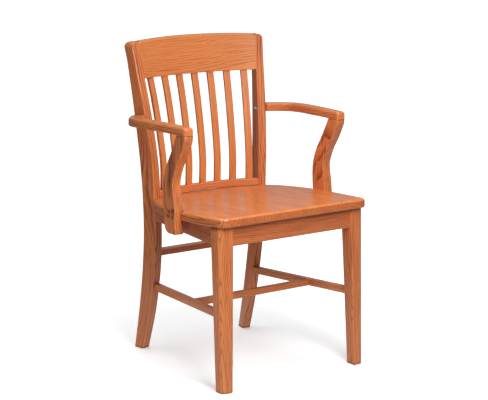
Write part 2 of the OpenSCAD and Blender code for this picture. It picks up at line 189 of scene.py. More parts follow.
def piece(name, verts, faces, grains, edges):
    """Makes a mesh in metres from vertices in millimetres from the datum."""
    offset = Vector((random.uniform(-4, 4), random.choice((-1, 1)) * random.uniform(0.05, 0.1),
                     random.uniform(-0.02, 0.03)))
    offset = BOARD_CUT.get(name, offset)
    mesh = bpy.data.meshes.new(name)
    mesh.from_pydata([(v.x * MM, (v.y + DATUM_Y) * MM, v.z * MM) for v in verts], [], faces)
    layer = mesh.attributes.new("grain", "FLOAT_VECTOR", "POINT")
    for i, g in enumerate(grains):
        layer.data[i].vector = g * MM + offset
    layer = mesh.attributes.new("edge", "FLOAT", "POINT")
    for i, e in enumerate(edges):
        layer.data[i].value = e
    bm = bmesh.new()
    bm.from_mesh(mesh)
    bmesh.ops.recalc_face_normals(bm, faces=bm.faces)
    bm.to_mesh(mesh)
    bm.free()
    obj = bpy.data.objects.new(name, mesh)
    bpy.context.collection.objects.link(obj)
    return finish_piece(obj)


def finish_piece(obj):
    for poly in obj.data.polygons:
        poly.use_smooth = True
    normals = obj.modifiers.new("flat faces stay flat", "WEIGHTED_NORMAL")
    normals.weight = 80
    normals.keep_sharp = True
    return obj


def soften(obj, width):
    """Eases the sharp edges of a piece that has square corners."""
    bevel = obj.modifiers.new("eased edges", "BEVEL")
    bevel.width = width * MM
    bevel.segments = 2
    bevel.limit_method = "ANGLE"
    bevel.angle_limit = math.radians(40)
    bevel.use_clamp_overlap = True
    obj.modifiers.move(len(obj.modifiers) - 1, 0)


def show(obj, node, material):
    """The piece stands for its CAD node: it takes the given material, hangs from the root body, and the
    node is hidden.
    """
    obj.data.materials.clear()
    obj.data.materials.append(material)
    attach(obj, "root")
    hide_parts(node)


# ------------------------------------------------------------------ oak
def node_tree_oak():
    """Solid oak as a node group: growth rings, pores, rays, slow colour change and a painted highlight on
    rounded edges.
    """
    tree = bpy.data.node_groups.new("oak wood", "ShaderNodeTree")
    face = tree.interface
    face.new_socket("Place", in_out="INPUT", socket_type="NodeSocketVector")
    face.new_socket("Edge", in_out="INPUT", socket_type="NodeSocketFloat")
    face.new_socket("Bold", in_out="INPUT", socket_type="NodeSocketFloat")
    face.new_socket("Light", in_out="INPUT", socket_type="NodeSocketColor")
    face.new_socket("Dark", in_out="INPUT", socket_type="NodeSocketColor")
    face.new_socket("Color", in_out="OUTPUT", socket_type="NodeSocketColor")
    face.new_socket("Roughness", in_out="OUTPUT", socket_type="NodeSocketFloat")
    face.new_socket("Height", in_out="OUTPUT", socket_type="NodeSocketFloat")
    nodes, links = tree.nodes, tree.links
    src = nodes.new("NodeGroupInput")
    out = nodes.new("NodeGroupOutput")

    def math_node(op, a, b=None, c=None, clamp=False):
        n = nodes.new("ShaderNodeMath")
        n.operation = op
        n.use_clamp = clamp
        for socket, value in zip(n.inputs, (a, b, c)):
            if value is None:
                continue
            if isinstance(value, (int, float)):
                socket.default_value = value
            else:
                links.new(value, socket)
        return n.outputs[0]

    def stretched_noise(scale, detail=2.0, rough=0.5, distortion=0.0):
        """Noise in the board's own directions: scale is per metre along, across and through."""
        m = nodes.new("ShaderNodeMapping")
        m.vector_type = "POINT"
        m.inputs["Scale"].default_value = scale
        links.new(src.outputs["Place"], m.inputs["Vector"])
        n = nodes.new("ShaderNodeTexNoise")
        n.inputs["Scale"].default_value = 1.0
        n.inputs["Detail"].default_value = detail
        n.inputs["Roughness"].default_value = rough
        n.inputs["Distortion"].default_value = distortion
        links.new(m.outputs[0], n.inputs["Vector"])
        return n.outputs["Fac"]

    def ramp(value, stops):
        n = nodes.new("ShaderNodeValToRGB")
        n.color_ramp.interpolation = "EASE"
        while len(n.color_ramp.elements) < len(stops):
            n.color_ramp.elements.new(0.5)
        for element, (pos, level) in zip(n.color_ramp.elements, stops):
            element.position = pos
            element.color = (level, level, level, 1)
        links.new(value, n.inputs[0])
        return n.outputs[0]

    def mix(kind, factor, a, b):
        n = nodes.new("ShaderNodeMix")
        n.data_type = "RGBA"
        n.blend_type = kind
        for key, value in (("Factor", factor), ("A", a), ("B", b)):
            socket = next(s for s in n.inputs if s.name == key and s.enabled)
            if isinstance(value, (int, float, tuple)):
                socket.default_value = value
            else:
                links.new(value, socket)
        return next(s for s in n.outputs if s.enabled)

    split = nodes.new("ShaderNodeSeparateXYZ")
    links.new(src.outputs["Place"], split.inputs[0])
    # growth rings about a pith that lies beside the board and wanders along it
    wander = stretched_noise((2.2, 2.5, 2.5), 1.0)
    wobble = stretched_noise((7.0, 60.0, 60.0), 3.0)
    pith = math_node("MULTIPLY", math_node("SUBTRACT", wander, 0.5), 0.10)
    ripple = math_node("MULTIPLY", math_node("SUBTRACT", wobble, 0.5), 0.0065)
    across = math_node("ADD", split.outputs[1], pith)
    depth = math_node("ADD", split.outputs[2], 0.035)
    radius = math_node("SQRT", math_node("ADD", math_node("POWER", across, 2.0),
                                         math_node("POWER", depth, 2.0)))
    radius = math_node("ADD", radius, ripple)
    rings = math_node("FRACT", math_node("MULTIPLY", radius, 210.0))
    early = ramp(rings, [(0.0, 0.0), (0.07, 1.0), (0.26, 0.55), (0.5, 0.1), (1.0, 0.0)])
    # pores: short dark dashes, mostly in the early wood
    pores = stretched_noise((70.0, 1500.0, 1500.0), 2.0, 0.6)
    dashes = ramp(pores, [(0.0, 1.0), (0.36, 1.0), (0.47, 0.0), (1.0, 0.0)])
    in_early = math_node("MULTIPLY", dashes, math_node("ADD", math_node("MULTIPLY", early, 0.8), 0.2))
    # coarser streaks that still read at arm's length
    streaks = stretched_noise((8.0, 300.0, 300.0), 3.0, 0.62)
    slow = stretched_noise((2.2, 14.0, 14.0), 3.0, 0.55)
    # medullary rays
    rays = stretched_noise((60.0, 420.0, 40.0), 1.0)
    flecks = ramp(rays, [(0.0, 0.0), (0.66, 0.0), (0.74, 1.0), (1.0, 1.0)])
    lines = math_node("MULTIPLY", early, math_node("MULTIPLY", streaks, src.outputs["Bold"]))
    tone = math_node("ADD", lines, math_node("MULTIPLY", math_node("SUBTRACT", streaks, 0.46), 1.3))
    # end grain, marked by a negative edge, takes more stain
    soaked = math_node("MULTIPLY", math_node("MINIMUM", src.outputs["Edge"], 0.0), -0.28)
    tone = math_node("ADD", tone, soaked)
    tone = math_node("ADD", tone, math_node("MULTIPLY", math_node("SUBTRACT", slow, 0.45), 0.55),
                     clamp=True)
    color = mix("MIX", tone, src.outputs["Light"], src.outputs["Dark"])
    color = mix("MULTIPLY", math_node("MULTIPLY", in_early, 0.55), color, (0.42, 0.27, 0.17, 1))
    color = mix("MIX", math_node("MULTIPLY", flecks, 0.10), color, (0.80, 0.42, 0.17, 1))
    # painted highlight: rounded edges are mixed toward a lighter orange, standing in for light caught on
    # them
    edge_highlight_mask = math_node("MAXIMUM", src.outputs["Edge"], 0.0)
    painted_edge_highlight = math_node("MULTIPLY", edge_highlight_mask, math_node("MULTIPLY", slow, 0.2))
    color = mix("MIX", painted_edge_highlight, color, (0.84, 0.36, 0.12, 1))
    links.new(color, out.inputs["Color"])
    rough = math_node("ADD", 0.34, math_node("MULTIPLY", in_early, 0.22))
    rough = math_node("ADD", rough, math_node("MULTIPLY", math_node("SUBTRACT", slow, 0.5), 0.16))
    links.new(rough, out.inputs["Roughness"])
    low = math_node("MULTIPLY", in_early, -0.6)
    low = math_node("ADD", low, math_node("MULTIPLY", early, -0.22))
    links.new(math_node("ADD", low, math_node("MULTIPLY", streaks, 0.15)), out.inputs["Height"])
    return tree


OAK = node_tree_oak()


def oak(name, light, dark, own_grain=True, bold=1.15):
    """Stained and lacquered oak. Without its own grain a piece reads the oak from where it stands."""
    mat = bpy.data.materials.new(name)
    mat.use_nodes = True
    nodes, links = mat.node_tree.nodes, mat.node_tree.links
    shader = nodes["Principled BSDF"]
    group = nodes.new("ShaderNodeGroup")
    group.node_tree = OAK
    group.inputs["Bold"].default_value = bold
    group.inputs["Light"].default_value = (*light, 1)
    group.inputs["Dark"].default_value = (*dark, 1)
    if own_grain:
        place = nodes.new("ShaderNodeAttribute")
        place.attribute_name = "grain"
        links.new(place.outputs["Vector"], group.inputs["Place"])
        edge = nodes.new("ShaderNodeAttribute")
        edge.attribute_name = "edge"
        links.new(edge.outputs["Fac"], group.inputs["Edge"])
    else:
        place = nodes.new("ShaderNodeTexCoord")
        links.new(place.outputs["Object"], group.inputs["Place"])
    links.new(group.outputs["Color"], shader.inputs["Base Color"])
    links.new(group.outputs["Roughness"], shader.inputs["Roughness"])
    bump = nodes.new("ShaderNodeBump")
    bump.inputs["Strength"].default_value = 0.25
    bump.inputs["Distance"].default_value = 0.0004
    links.new(group.outputs["Height"], bump.inputs["Height"])
    links.new(bump.outputs[0], shader.inputs["Normal"])
    shader.inputs["Specular IOR Level"].default_value = 0.45
    shader.inputs["Coat Weight"].default_value = 0.45
    shader.inputs["Coat Roughness"].default_value = 0.16
    return mat


def brushed_steel(name, base):
    mat = bpy.data.materials.new(name)
    mat.use_nodes = True
    nodes, links = mat.node_tree.nodes, mat.node_tree.links
    shader = nodes["Principled BSDF"]
    coord = nodes.new("ShaderNodeTexCoord")
    noise = nodes.new("ShaderNodeTexNoise")
    noise.inputs["Scale"].default_value = 900.0
    noise.inputs["Detail"].default_value = 3.0
    links.new(coord.outputs["Object"], noise.inputs["Vector"])
    spread_node = nodes.new("ShaderNodeMapRange")
    spread_node.inputs["To Min"].default_value = 0.22
    spread_node.inputs["To Max"].default_value = 0.46
    links.new(noise.outputs["Fac"], spread_node.inputs["Value"])
    links.new(spread_node.outputs[0], shader.inputs["Roughness"])
    tint = nodes.new("ShaderNodeValToRGB")
    tint.color_ramp.elements[0].color = (*[0.72 * c for c in base], 1)
    tint.color_ramp.elements[1].color = (*base, 1)
    links.new(noise.outputs["Fac"], tint.inputs[0])
    links.new(tint.outputs[0], shader.inputs["Base Color"])
    shader.inputs["Metallic"].default_value = 1.0
    return mat


OAK_LIGHT = (0.73, 0.224, 0.066)
OAK_DARK = (0.26, 0.048, 0.018)


def between(k):
    """The dark of the grain, k of the way from the light colour."""
    return tuple(max(lerp(a, b, k), 0.004) for a, b in zip(OAK_LIGHT, OAK_DARK))


oak_main = oak("oak lacquered", OAK_LIGHT, OAK_DARK)
oak_calm = oak("oak with calm grain", (0.74, 0.242, 0.069), between(0.72))
oak_bold = oak("oak with bold grain", OAK_LIGHT, between(1.1), bold=1.35)
oak_seat = oak("oak seat", (0.80, 0.245, 0.066), (0.30, 0.058, 0.02), bold=1.2)
oak_rail = oak("oak apron", (0.64, 0.175, 0.056), (0.22, 0.038, 0.015), bold=1.4)
oak_block = oak("oak block", tuple(c * 0.85 for c in OAK_LIGHT), tuple(c * 0.85 for c in OAK_DARK),
                own_grain=False)
# plugs take a third of the oak's colour: painted shade standing in for the shade inside their recessed
# holes
oak_plug_painted_shade = oak("oak plug in painted shade", tuple(c * 0.3 for c in OAK_LIGHT), tuple(c * 0.3 for c in OAK_DARK),
               own_grain=False)
steel = brushed_steel("zinc plated steel", (0.74, 0.73, 0.70))

# ------------------------------------------------------------------ back posts
POST_T = 24.1
TURN = math.radians(12.2)
LEAN = math.radians(2.3)
PIVOT_X, PIVOT_Z = -148.9, 430.0
POST_FRONT = [(0, 236), (120, 198.5), (240, 173), (340, 163.5), (430, 162.5), (520, 164.5),
              (610, 175), (700, 191), (780, 208), (850, 219.5)]
POST_REAR = [(0, 268), (120, 242), (240, 221.5), (340, 211), (430, 208.5), (520, 211.5),
             (610, 219.5), (700, 229.5), (780, 240.5), (850, 250.5)]
POST_DRAWN = 850                                      # height that the two curves reach
POST_TOP = 852.0                                      # height that a post is lofted to, then trimmed
FOOT_BLEND = 120                                      # below this height the foot is levelled
TOP_BLEND = 800.0                                     # above this height the top takes its crown
BACK_H = 844.2
CROWN = 6.5
HALF_BACK = 218.0
TOP_CORNER = 13.0


def post_place(s, z, t):
    """A point of the left post from its depth, height and distance in from its outer face."""
    x = -s * math.sin(TURN) + t * math.cos(TURN)
    y = s * math.cos(TURN) + t * math.sin(TURN)
    dz = z - PIVOT_Z
    return Vector((PIVOT_X + x * math.cos(LEAN) - dz * math.sin(LEAN), y,
                   PIVOT_Z + x * math.sin(LEAN) + dz * math.cos(LEAN)))


def crown(x):
    radius = (HALF_BACK**2 + CROWN**2) / (2 * CROWN)
    return BACK_H + CROWN - radius + math.sqrt(radius**2 - x**2)


def post_inner_x(y, z):
    """Distance from the middle to a post's inner face."""
    return (-PIVOT_X + (y * math.tan(TURN) - POST_T / math.cos(TURN)) * math.cos(LEAN)
            + (z - PIVOT_Z) * math.tan(LEAN))


def post_outer_x(y, z):
    return -PIVOT_X + y * math.tan(TURN) * math.cos(LEAN) + (z - PIVOT_Z) * math.tan(LEAN)


def post_front_y(x, z):
    """Where a post's front face lies at a distance x from the middle."""
    s = hermite(POST_FRONT, z)
    inner = post_inner_x(s * math.cos(TURN) + POST_T * math.sin(TURN), z)
    t = POST_T - (x - inner) / math.cos(TURN)
    return s * math.cos(TURN) + t * math.sin(TURN)


def sided(name, side, stations, section, place, grain, **extra):
    """A left or right piece: the right one mirrors the left one's shape with its own grain."""
    flip = 1 if side == "left" else -1

    def placed(a, b, c):
        p = Vector(place(a, b, c))
        return Vector((p.x * flip, p.y, p.z))

    return loft(f"{name}_{side}", stations, section, placed, grain, **extra)


def back_post(side):
    def section(z):
        drawn = min(z, POST_DRAWN)
        return (hermite(POST_FRONT, drawn), hermite(POST_REAR, drawn), 0.0, POST_T,
                (3.2, 0.7, 3.0, 3.0))

    def place(z, s, t):
        p = post_place(s, z, t)
        foot = post_place(s, 0, t).z
        if z < FOOT_BLEND:
            p.z -= foot * (1 - z / FOOT_BLEND)
        over = TOP_CORNER - t
        drop = TOP_CORNER - math.sqrt(TOP_CORNER**2 - over**2) if over > 0 else 0.0
        if p.z > TOP_BLEND:
            rise = (crown(abs(p.x)) - drop - TOP_BLEND) / (POST_TOP - TOP_BLEND)
            p.z = TOP_BLEND + (p.z - TOP_BLEND) * rise
        return p

    def grain(z, s, t):
        # broad rings that run off the side faces at a slant
        u = s - hermite(POST_FRONT, min(z, POST_DRAWN))
        return (z, u * (0.75 + 0.55 * math.sin(z / 95.0)), t * 0.8)

    obj = sided("back_post_visual", side, spread(0, POST_TOP, 60), section, place, grain,
                ends=(3.0, 5.5), sides=8, end_keep=(1, 1, 1, 0.12))
    show(obj, f"back_post_{side}", oak_bold)


# ------------------------------------------------------------------ back rails
BOW = 29.6
CREST_LOW = 747.0
CREST_T = 19.0
CREST_TILT = math.radians(9.2)
CREST_HALF = 185.3
CREST_Y = 202.2
RAIL_LOW, RAIL_H, RAIL_T = 431.0, 18.5, 18.0
RAIL_HALF, RAIL_Y = 160.0, 163.5
BUTT = 0.4                                            # how far an end enters the piece it meets


def bow_radius(half):
    return (half**2 + BOW**2) / (2 * BOW)


def bow_y(x, half, y0, c=0.0):
    """Depth of a bowed rail's front face at x, or of a surface c behind it."""
    r = bow_radius(half)
    return y0 + BOW - r + math.sqrt((r + c)**2 - x**2)


def crest_rail():
    def section(a):
        # b runs from 0 at the bottom edge to 100 at the crowned top
        return (0.0, 100.0, 0.0, CREST_T, (2.2, 2.2, 6.5, 6.5))

    def place(a, b, c):
        z = lerp(CREST_LOW, BACK_H, b / 100.0)
        for _ in range(3):
            lift = math.tan(CREST_TILT) * (z - CREST_LOW)
            half = post_inner_x(CREST_Y + lift + c * 0.97, z) + BUTT
            x = a * half
            z = lerp(CREST_LOW, crown(x), b / 100.0)
        return (x, bow_y(x, CREST_HALF, CREST_Y, c) + math.tan(CREST_TILT) * (z - CREST_LOW), z)

    def grain(a, b, c):
        return (a * 190, b - 50, c)

    obj = loft("crest_rail_visual", spread(-1, 1, 48), section, place, grain)
    show(obj, "crest_rail", oak_calm)


def lower_back_rail():
    def section(a):
        return (RAIL_LOW, RAIL_LOW + RAIL_H, 0.0, RAIL_T, (1.0, 1.0, 3.0, 3.0))

    def place(a, b, c):
        x = a * (post_inner_x(RAIL_Y + c, b) + BUTT)
        return (x, bow_y(x, RAIL_HALF, RAIL_Y, c), b)

    def grain(a, b, c):
        return (a * 160, b - 440, c)

    obj = loft("lower_back_rail_visual", spread(-1, 1, 40), section, place, grain)
    show(obj, "lower_back_rail", oak_main)


# ------------------------------------------------------------------ slats
SLATS = 7
SLAT_W, SLAT_T = 19.2, 9.0
SLAT_LOW = RAIL_LOW + RAIL_H
SLAT_RISE = CREST_LOW - SLAT_LOW
SLAT_GAP_LOW, SLAT_GAP_TOP = 46.3, 46.3
SLAT_FRONT = [(-10, 0.4), (0, 0), (70, -1.6), (160, 9.6), (250, 26.4), (297.5, 37.4), (312, 40.2)]
SLAT_SET = 37.4                                       # how far a slat runs back over its rise
SLAT_HALF = 172.0                                     # half width of the bow that the slats follow
RECESS = 4.5                                          # from the rails' front faces to the slats'


def slat(i):
    place_in_row = i - SLATS // 2
    x0, x1 = place_in_row * SLAT_GAP_LOW, place_in_row * SLAT_GAP_TOP
    y0 = bow_y(x0, RAIL_HALF, RAIL_Y) + RECESS
    y1 = bow_y(x1, CREST_HALF, CREST_Y) + RECESS
    turn = -math.asin((x0 + x1) / 2 / (bow_radius(SLAT_HALF) + 6))
    back = math.atan((y1 - y0 - SLAT_SET) / SLAT_RISE)
    lean = math.atan((x1 - x0) / SLAT_RISE)
    spin = (Matrix.Translation((x0, y0, SLAT_LOW)) @ Matrix.Rotation(turn, 4, "Z")
            @ Matrix.Rotation(lean, 4, "Y") @ Matrix.Rotation(-back, 4, "X"))

    def section(a):
        return (-SLAT_W / 2, SLAT_W / 2, 0.0, SLAT_T, (1.5, 1.5, 1.5, 1.5))

    def place(a, b, c):
        return spin @ Vector((b, hermite(SLAT_FRONT, a) + c, a))

    def grain(a, b, c):
        return (a, b, c)

    obj = loft(f"slat_visual_{i + 1}", spread(-0.8, SLAT_RISE + 1.5, 26), section, place, grain)
    show(obj, f"slat_{i + 1}", oak_calm)


# ------------------------------------------------------------------ seat
SEAT_H, SEAT_T = 448.6, 24.0
SEAT_H_AT = -224                                      # where the top has its full height
PITCH = math.radians(2.7)
SEAT_FRONT, SEAT_HALF = 227.0, 237.0
SUPPORT_OUT, SUPPORT_T = 253.5, 26.3
NOTCH_FRONT, NOTCH_REAR = -53.5, 7.0
TOP_STEPS = 5
STAVE_JOINTS = [-178, -116, -49, 14, 83, 141, 196]
STAVES_REACH = 260


def seat_top(y):
    return SEAT_H - (y - SEAT_H_AT) * math.tan(PITCH)


def seat_under(y):
    return seat_top(y) - SEAT_T / math.cos(PITCH)


def seat_outline():
    """Right half of the seat from the middle of the front to the middle of the back, as (x, y, round)."""
    r = 22.0                                          # radius of a front corner
    front_half = SEAT_HALF - 6
    pts = [(0, -SEAT_FRONT, 1)]
    pts += [(x, -SEAT_FRONT, 1) for x in (60, 120, 170, front_half - r)]
    for k in range(1, 13):
        t = math.radians(90 * k / 12)
        pts.append((front_half - r + r * math.sin(t), r - SEAT_FRONT - r * math.cos(t), 1))
    edge = [(front_half, -205), (SEAT_HALF - 2, -140), (SEAT_HALF, -80), (SEAT_HALF, -20),
            (SEAT_HALF - 3, 20), (SEAT_HALF - 9, 58), (SEAT_HALF - 19, 95), (SEAT_HALF - 32, 128),
            (SEAT_HALF - 46, 152), (SEAT_HALF - 54, 161)]
    bottom = SUPPORT_OUT - SUPPORT_T + 0.2
    front = [p for p in through(edge, 5)[1:] if p.y < NOTCH_FRONT - 1]
    rear = [p for p in through(edge, 5) if p.y > NOTCH_REAR + 1]
    pts += [(p.x, p.y, 1) for p in front]
    pts += [(SEAT_HALF, NOTCH_FRONT, 1), (bottom, NOTCH_FRONT, 0), (bottom, NOTCH_REAR, 0),
            (SEAT_HALF - 1.6, NOTCH_REAR, 1)]
    pts += [(p.x, p.y, 1) for p in rear]
    pts += [(post_outer_x(162, 430) - 3.0, 161.0, 0), (162.0, 166.5, 0), (157.0, 188.0, 0)]
    pts += [(x, 211.5 - (x / 157.0)**2 * 22, 1) for x in (140, 120, 90, 60, 30)]
    pts.append((0, 211.5, 1))
    return pts


def seat():
    right = seat_outline()
    outline = right + [(-x, y, k) for x, y, k in right[-2:0:-1]]
    n = len(outline)
    flat = [Vector((x, y)) for x, y, _ in outline]

    def inset_point(i, d):
        before, here, after = flat[i - 1], flat[i], flat[(i + 1) % n]
        n1 = Vector((-(here - before).y, (here - before).x)).normalized()
        n2 = Vector((-(after - here).y, (after - here).x)).normalized()
        mid = (n1 + n2).normalized()
        return here + mid * d * outline[i][2] / max(mid.dot(n1), 0.5)

    top_r, under_r = 7.5, 4.0
    rings = []
    for k in range(ARC_STEPS + 1):
        t = math.radians(90 * k / ARC_STEPS)
        rings.append((under_r * (1 - math.sin(t)), under_r * (1 - math.cos(t)) - SEAT_T))
    for k in range(TOP_STEPS + 1):
        t = math.radians(90 * k / TOP_STEPS)
        rings.append((top_r * (1 - math.cos(t)), top_r * (math.sin(t) - 1)))
    bm = bmesh.new()
    edge_layer = bm.verts.layers.float.new("edge")
    rows = []
    for d, drop in rings:
        row = []
        for i in range(n):
            p = inset_point(i, d)
            v = bm.verts.new((p.x, p.y, seat_top(p.y) + drop))
            # edge: -1 on the outer band (end grain, takes more stain), 1 on the rounded edges (painted
            # highlight)
            rounded = 1.0 if 0.5 < d < 6.5 and outline[i][2] else 0.0
            v[edge_layer] = -1.0 if d < 0.5 else rounded
            row.append(v)
        rows.append(row)
    for low, high in zip(rows, rows[1:]):
        for i in range(n):
            k = (i + 1) % n
            bm.faces.new((low[i], low[k], high[k], high[i]))
    bm.faces.new(rows[-1])
    bm.faces.new(rows[0][::-1])
    # the seat is glued up from staves that run front to back
    for x in STAVE_JOINTS:
        bmesh.ops.bisect_plane(bm, geom=bm.verts[:] + bm.edges[:] + bm.faces[:],
                               plane_co=(x, 0, 0), plane_no=(1, 0, 0), dist=0.01)
    bmesh.ops.recalc_face_normals(bm, faces=bm.faces)
    layer = bm.loops.layers.float_vector.new("grain")
    bounds = [-STAVES_REACH] + STAVE_JOINTS + [STAVES_REACH]
    shifts = [Vector((random.uniform(-3, 3), random.uniform(-0.05, 0.05), random.uniform(-0.03, 0.02)))
              for _ in bounds]
    for face in bm.faces:
        x = face.calc_center_median().x
        stave = max(i for i, lo in enumerate(bounds) if x >= lo)
        mid = (bounds[stave] + bounds[min(stave + 1, len(bounds) - 1)]) / 2
        for loop in face.loops:
            co = loop.vert.co
            loop[layer] = Vector((co.y, co.x - mid, co.z - SEAT_H)) * MM + shifts[stave]
    for v in bm.verts:
        v.co = Vector((v.co.x * MM, (v.co.y + DATUM_Y) * MM, v.co.z * MM))
    mesh = bpy.data.meshes.new("seat_visual")
    bm.to_mesh(mesh)
    bm.free()
    obj = bpy.data.objects.new("seat_visual", mesh)
    bpy.context.collection.objects.link(obj)
    show(finish_piece(obj), "seat", oak_seat)


# ------------------------------------------------------------------ front legs
LEG_OUT, LEG_TOP, LEG_FOOT = 227.5, 42.2, 31.6
FOOT_FRONT, TOP_FRONT, LEG_DRAWN = 222.0, 211.0, 440.0


def leg_width(z):
    return lerp(LEG_FOOT, LEG_TOP, z / LEG_DRAWN)


def leg_front(z):
    return -lerp(FOOT_FRONT, TOP_FRONT, z / LEG_DRAWN)


def leg_rear(z):
    return leg_front(z) + leg_width(z)


def front_leg(side):
    top = 424.0

    def section(z):
        return (-LEG_OUT, -LEG_OUT + leg_width(z), leg_front(z), leg_rear(z), (14.0, 2.6, 2.0, 2.6))

    def place(z, x, y):
        return (x, y, z * (1 - (z / top)**8 * (1 - seat_under(y) / top)))

    def grain(z, x, y):
        return (z, x + 210, y + 200)

    obj = sided("front_leg_visual", side, spread(0, top, 22), section, place, grain, ends=(3.0, 0),
                sides=2)
    show(obj, f"front_leg_{side}", oak_main)


# ------------------------------------------------------------------ aprons
APRON_LOW, APRON_T, APRON_FACE = 373.0, 19.0, 208.0
SIDE_TURN = math.radians(6.7)
APRON_X, SIDE_Y = -223.0, -190.0


def front_apron():
    def section(a):
        return (0.0, 1.0, -APRON_FACE, APRON_T - APRON_FACE, (0.0, 0.0, 0.0, 0.0))

    def place(a, b, y):
        z = lerp(APRON_LOW, seat_under(y), b)
        return (a * (LEG_OUT - leg_width(z) + BUTT), y, z)

    def grain(a, b, c):
        return (a * 190, b * 50, c + 200)

    obj = loft("front_apron_visual", spread(-1, 1, 8), section, place, grain, sides=2)
    soften(obj, 1.2)
    show(obj, "front_apron", oak_rail)


def back_apron():
    y0 = 167.0

    def section(a):
        return (APRON_LOW + 0.5, seat_under(y0 + 10) - 0.2, y0, y0 + APRON_T, (1.2, 1.2, 1.2, 1.2))

    def place(a, z, y):
        return (a * (post_inner_x(y, z) + BUTT), y, z)

    def grain(a, b, c):
        return (a * 160, b - 400, c - 170)

    obj = loft("back_apron_visual", spread(-1, 1, 8), section, place, grain)
    show(obj, "back_apron", oak_rail)


def side_apron(side):
    def section(a):
        return (0.0, 1.0, 0.0, APRON_T, (0.02, 0.02, 0.02, 0.02))

    def place(a, b, c):
        z = lerp(APRON_LOW, 420.0, b)
        y = lerp(leg_rear(z) - BUTT, 165.0, a)
        x = APRON_X + (y - SIDE_Y) * math.tan(SIDE_TURN) + c / math.cos(SIDE_TURN)
        y = lerp(leg_rear(z) - BUTT, post_front_y(-x, z) + BUTT, a)
        x = APRON_X + (y - SIDE_Y) * math.tan(SIDE_TURN) + c / math.cos(SIDE_TURN)
        return (x, y, lerp(APRON_LOW, seat_under(y), b))

    def grain(a, b, c):
        return (a * 340, b * 45, c)

    obj = sided("side_apron_visual", side, spread(0, 1, 10), section, place, grain)
    soften(obj, 1.2)
    show(obj, f"side_apron_{side}", oak_rail)


# ------------------------------------------------------------------ stretchers
STR_W, STR_H = 18.0, 18.8
SIDE_STR_X, SIDE_STR_Y, SIDE_STR_LOW = -218.0, -200.0, 187.3
STR_SLOPE = 12.4 / 370.0


def side_stretcher_x(y):
    return SIDE_STR_X + (y - SIDE_STR_Y) * math.tan(SIDE_TURN)


def side_stretcher(side):
    def section(a):
        return (0.0, STR_H, 0.0, STR_W, (2.6, 2.6, 2.6, 2.6))

    def place(a, b, c):
        y = 0.0
        for _ in range(3):
            x = side_stretcher_x(y) + c / math.cos(SIDE_TURN)
            z = SIDE_STR_LOW - (y - SIDE_STR_Y) * STR_SLOPE + b
            y = lerp(leg_rear(z) - BUTT, post_front_y(-x, z) + BUTT, a)
        x = side_stretcher_x(y) + c / math.cos(SIDE_TURN)
        return (x, y, SIDE_STR_LOW - (y - SIDE_STR_Y) * STR_SLOPE + b)

    def grain(a, b, c):
        return (a * 360, b - 9, c)

    obj = sided("side_stretcher_visual", side, spread(0, 1, 10), section, place, grain)
    show(obj, f"side_stretcher_{side}", oak_main)


def cross_stretcher():
    z0 = 181.0

    def section(a):
        return (z0, z0 + 17.4, CROSS_FRONT, CROSS_FRONT + STR_W, (2.6, 2.6, 2.6, 2.6))

    def place(a, z, y):
        return (a * (-side_stretcher_x(y) - STR_W / math.cos(SIDE_TURN) + BUTT), y, z)

    def grain(a, b, c):
        return (a * 182, b - z0, c)

    obj = loft("cross_stretcher_visual", spread(-1, 1, 8), section, place, grain)
    show(obj, "cross_stretcher", oak_main)


def rear_stretcher():
    y0, z0 = 174.5, 269.5

    def section(a):
        return (z0, z0 + 16.0, y0, y0 + 30.0, (2.4, 2.4, 2.4, 2.4))

    def place(a, z, y):
        return (a * (post_inner_x(y, z) + BUTT), y, z)

    def grain(a, b, c):
        return (a * 165, b - z0, c - y0)

    obj = loft("rear_stretcher_visual", spread(-1, 1, 8), section, place, grain)
    show(obj, "rear_stretcher", oak_main)


# ------------------------------------------------------------------ arms
ARM_H, ARM_T = 660.0, 22.5
ARM_LONG = 330.0                                      # about the length of an arm along its curve
ARM_OUTER = [(255.0, -100), (257, -60), (261, 0), (265, 50), (267.6, 95), (266, 128), (259.5, 153),
             (248, 178), (231, 201), (214, 219)]
ARM_INNER = [(227.0, -100), (229, -60), (232, 0), (236, 60), (237, 100), (233.5, 122), (226, 139),
             (216, 154), (204, 167.5), (194.5, 175.5)]
ARM_TOP = [(-110, -0.6), (-60, 0.4), (0, 0.6), (80, -0.6), (150, -3.6), (230, -8.5)]


def arm(side):
    outer = through(ARM_OUTER, 8)
    inner = through(ARM_INNER, 8)

    def width(u):
        return (at_fraction(outer, u) - at_fraction(inner, u)).length

    def section(u):
        w = width(u)
        return (0.0, w, -ARM_T, 0.0, (2.5, 8.0, 2.5, 8.0))

    def place(u, b, c):
        o, i = at_fraction(outer, u), at_fraction(inner, u)
        p = o.lerp(i, b / max(width(u), 1))
        x, y = p.x, p.y
        z = ARM_H + hermite(ARM_TOP, y) + c
        inside = post_outer_x(y, z) - x
        if inside > -BUTT and y > 150:
            x += inside - BUTT
        return (-x, y, z)

    def grain(u, b, c):
        p = at_fraction(outer, u).lerp(at_fraction(inner, u), b / max(width(u), 1))
        return (p.y, p.x - 245, c)

    obj = sided("arm_visual", side, spread(0, 1, 52), section, place, grain, ends=(7.0, 0),
                scale=1 / ARM_LONG, sides=2, end_keep=(1, 1, 0.25, 1))
    show(obj, f"arm_{side}", oak_main)


# ------------------------------------------------------------------ arm supports
SUPPORT_REAR = [(368, -2), (400, 1.3), (430, 3.8), (470, 7.2), (510, 5.4), (550, -8.8), (590, -32.8),
                (625, -52.5), (640, -59.5)]
SUPPORT_FRONT = [(368, -50.5), (400, -50.4), (430, -50), (470, -45.6), (510, -39.6), (550, -53.5),
                 (590, -78.6), (625, -96.8), (640, -99.8)]
SUPPORT_LOW = 380.0
SUPPORT_TOP = ARM_H - ARM_T
PLUGS = ((-38.0, 425.0), (-17.5, 425.0))
PLUG_R, PLUG_HOLE = 5.0, 4.0                           # radius and depth of a plug's hole


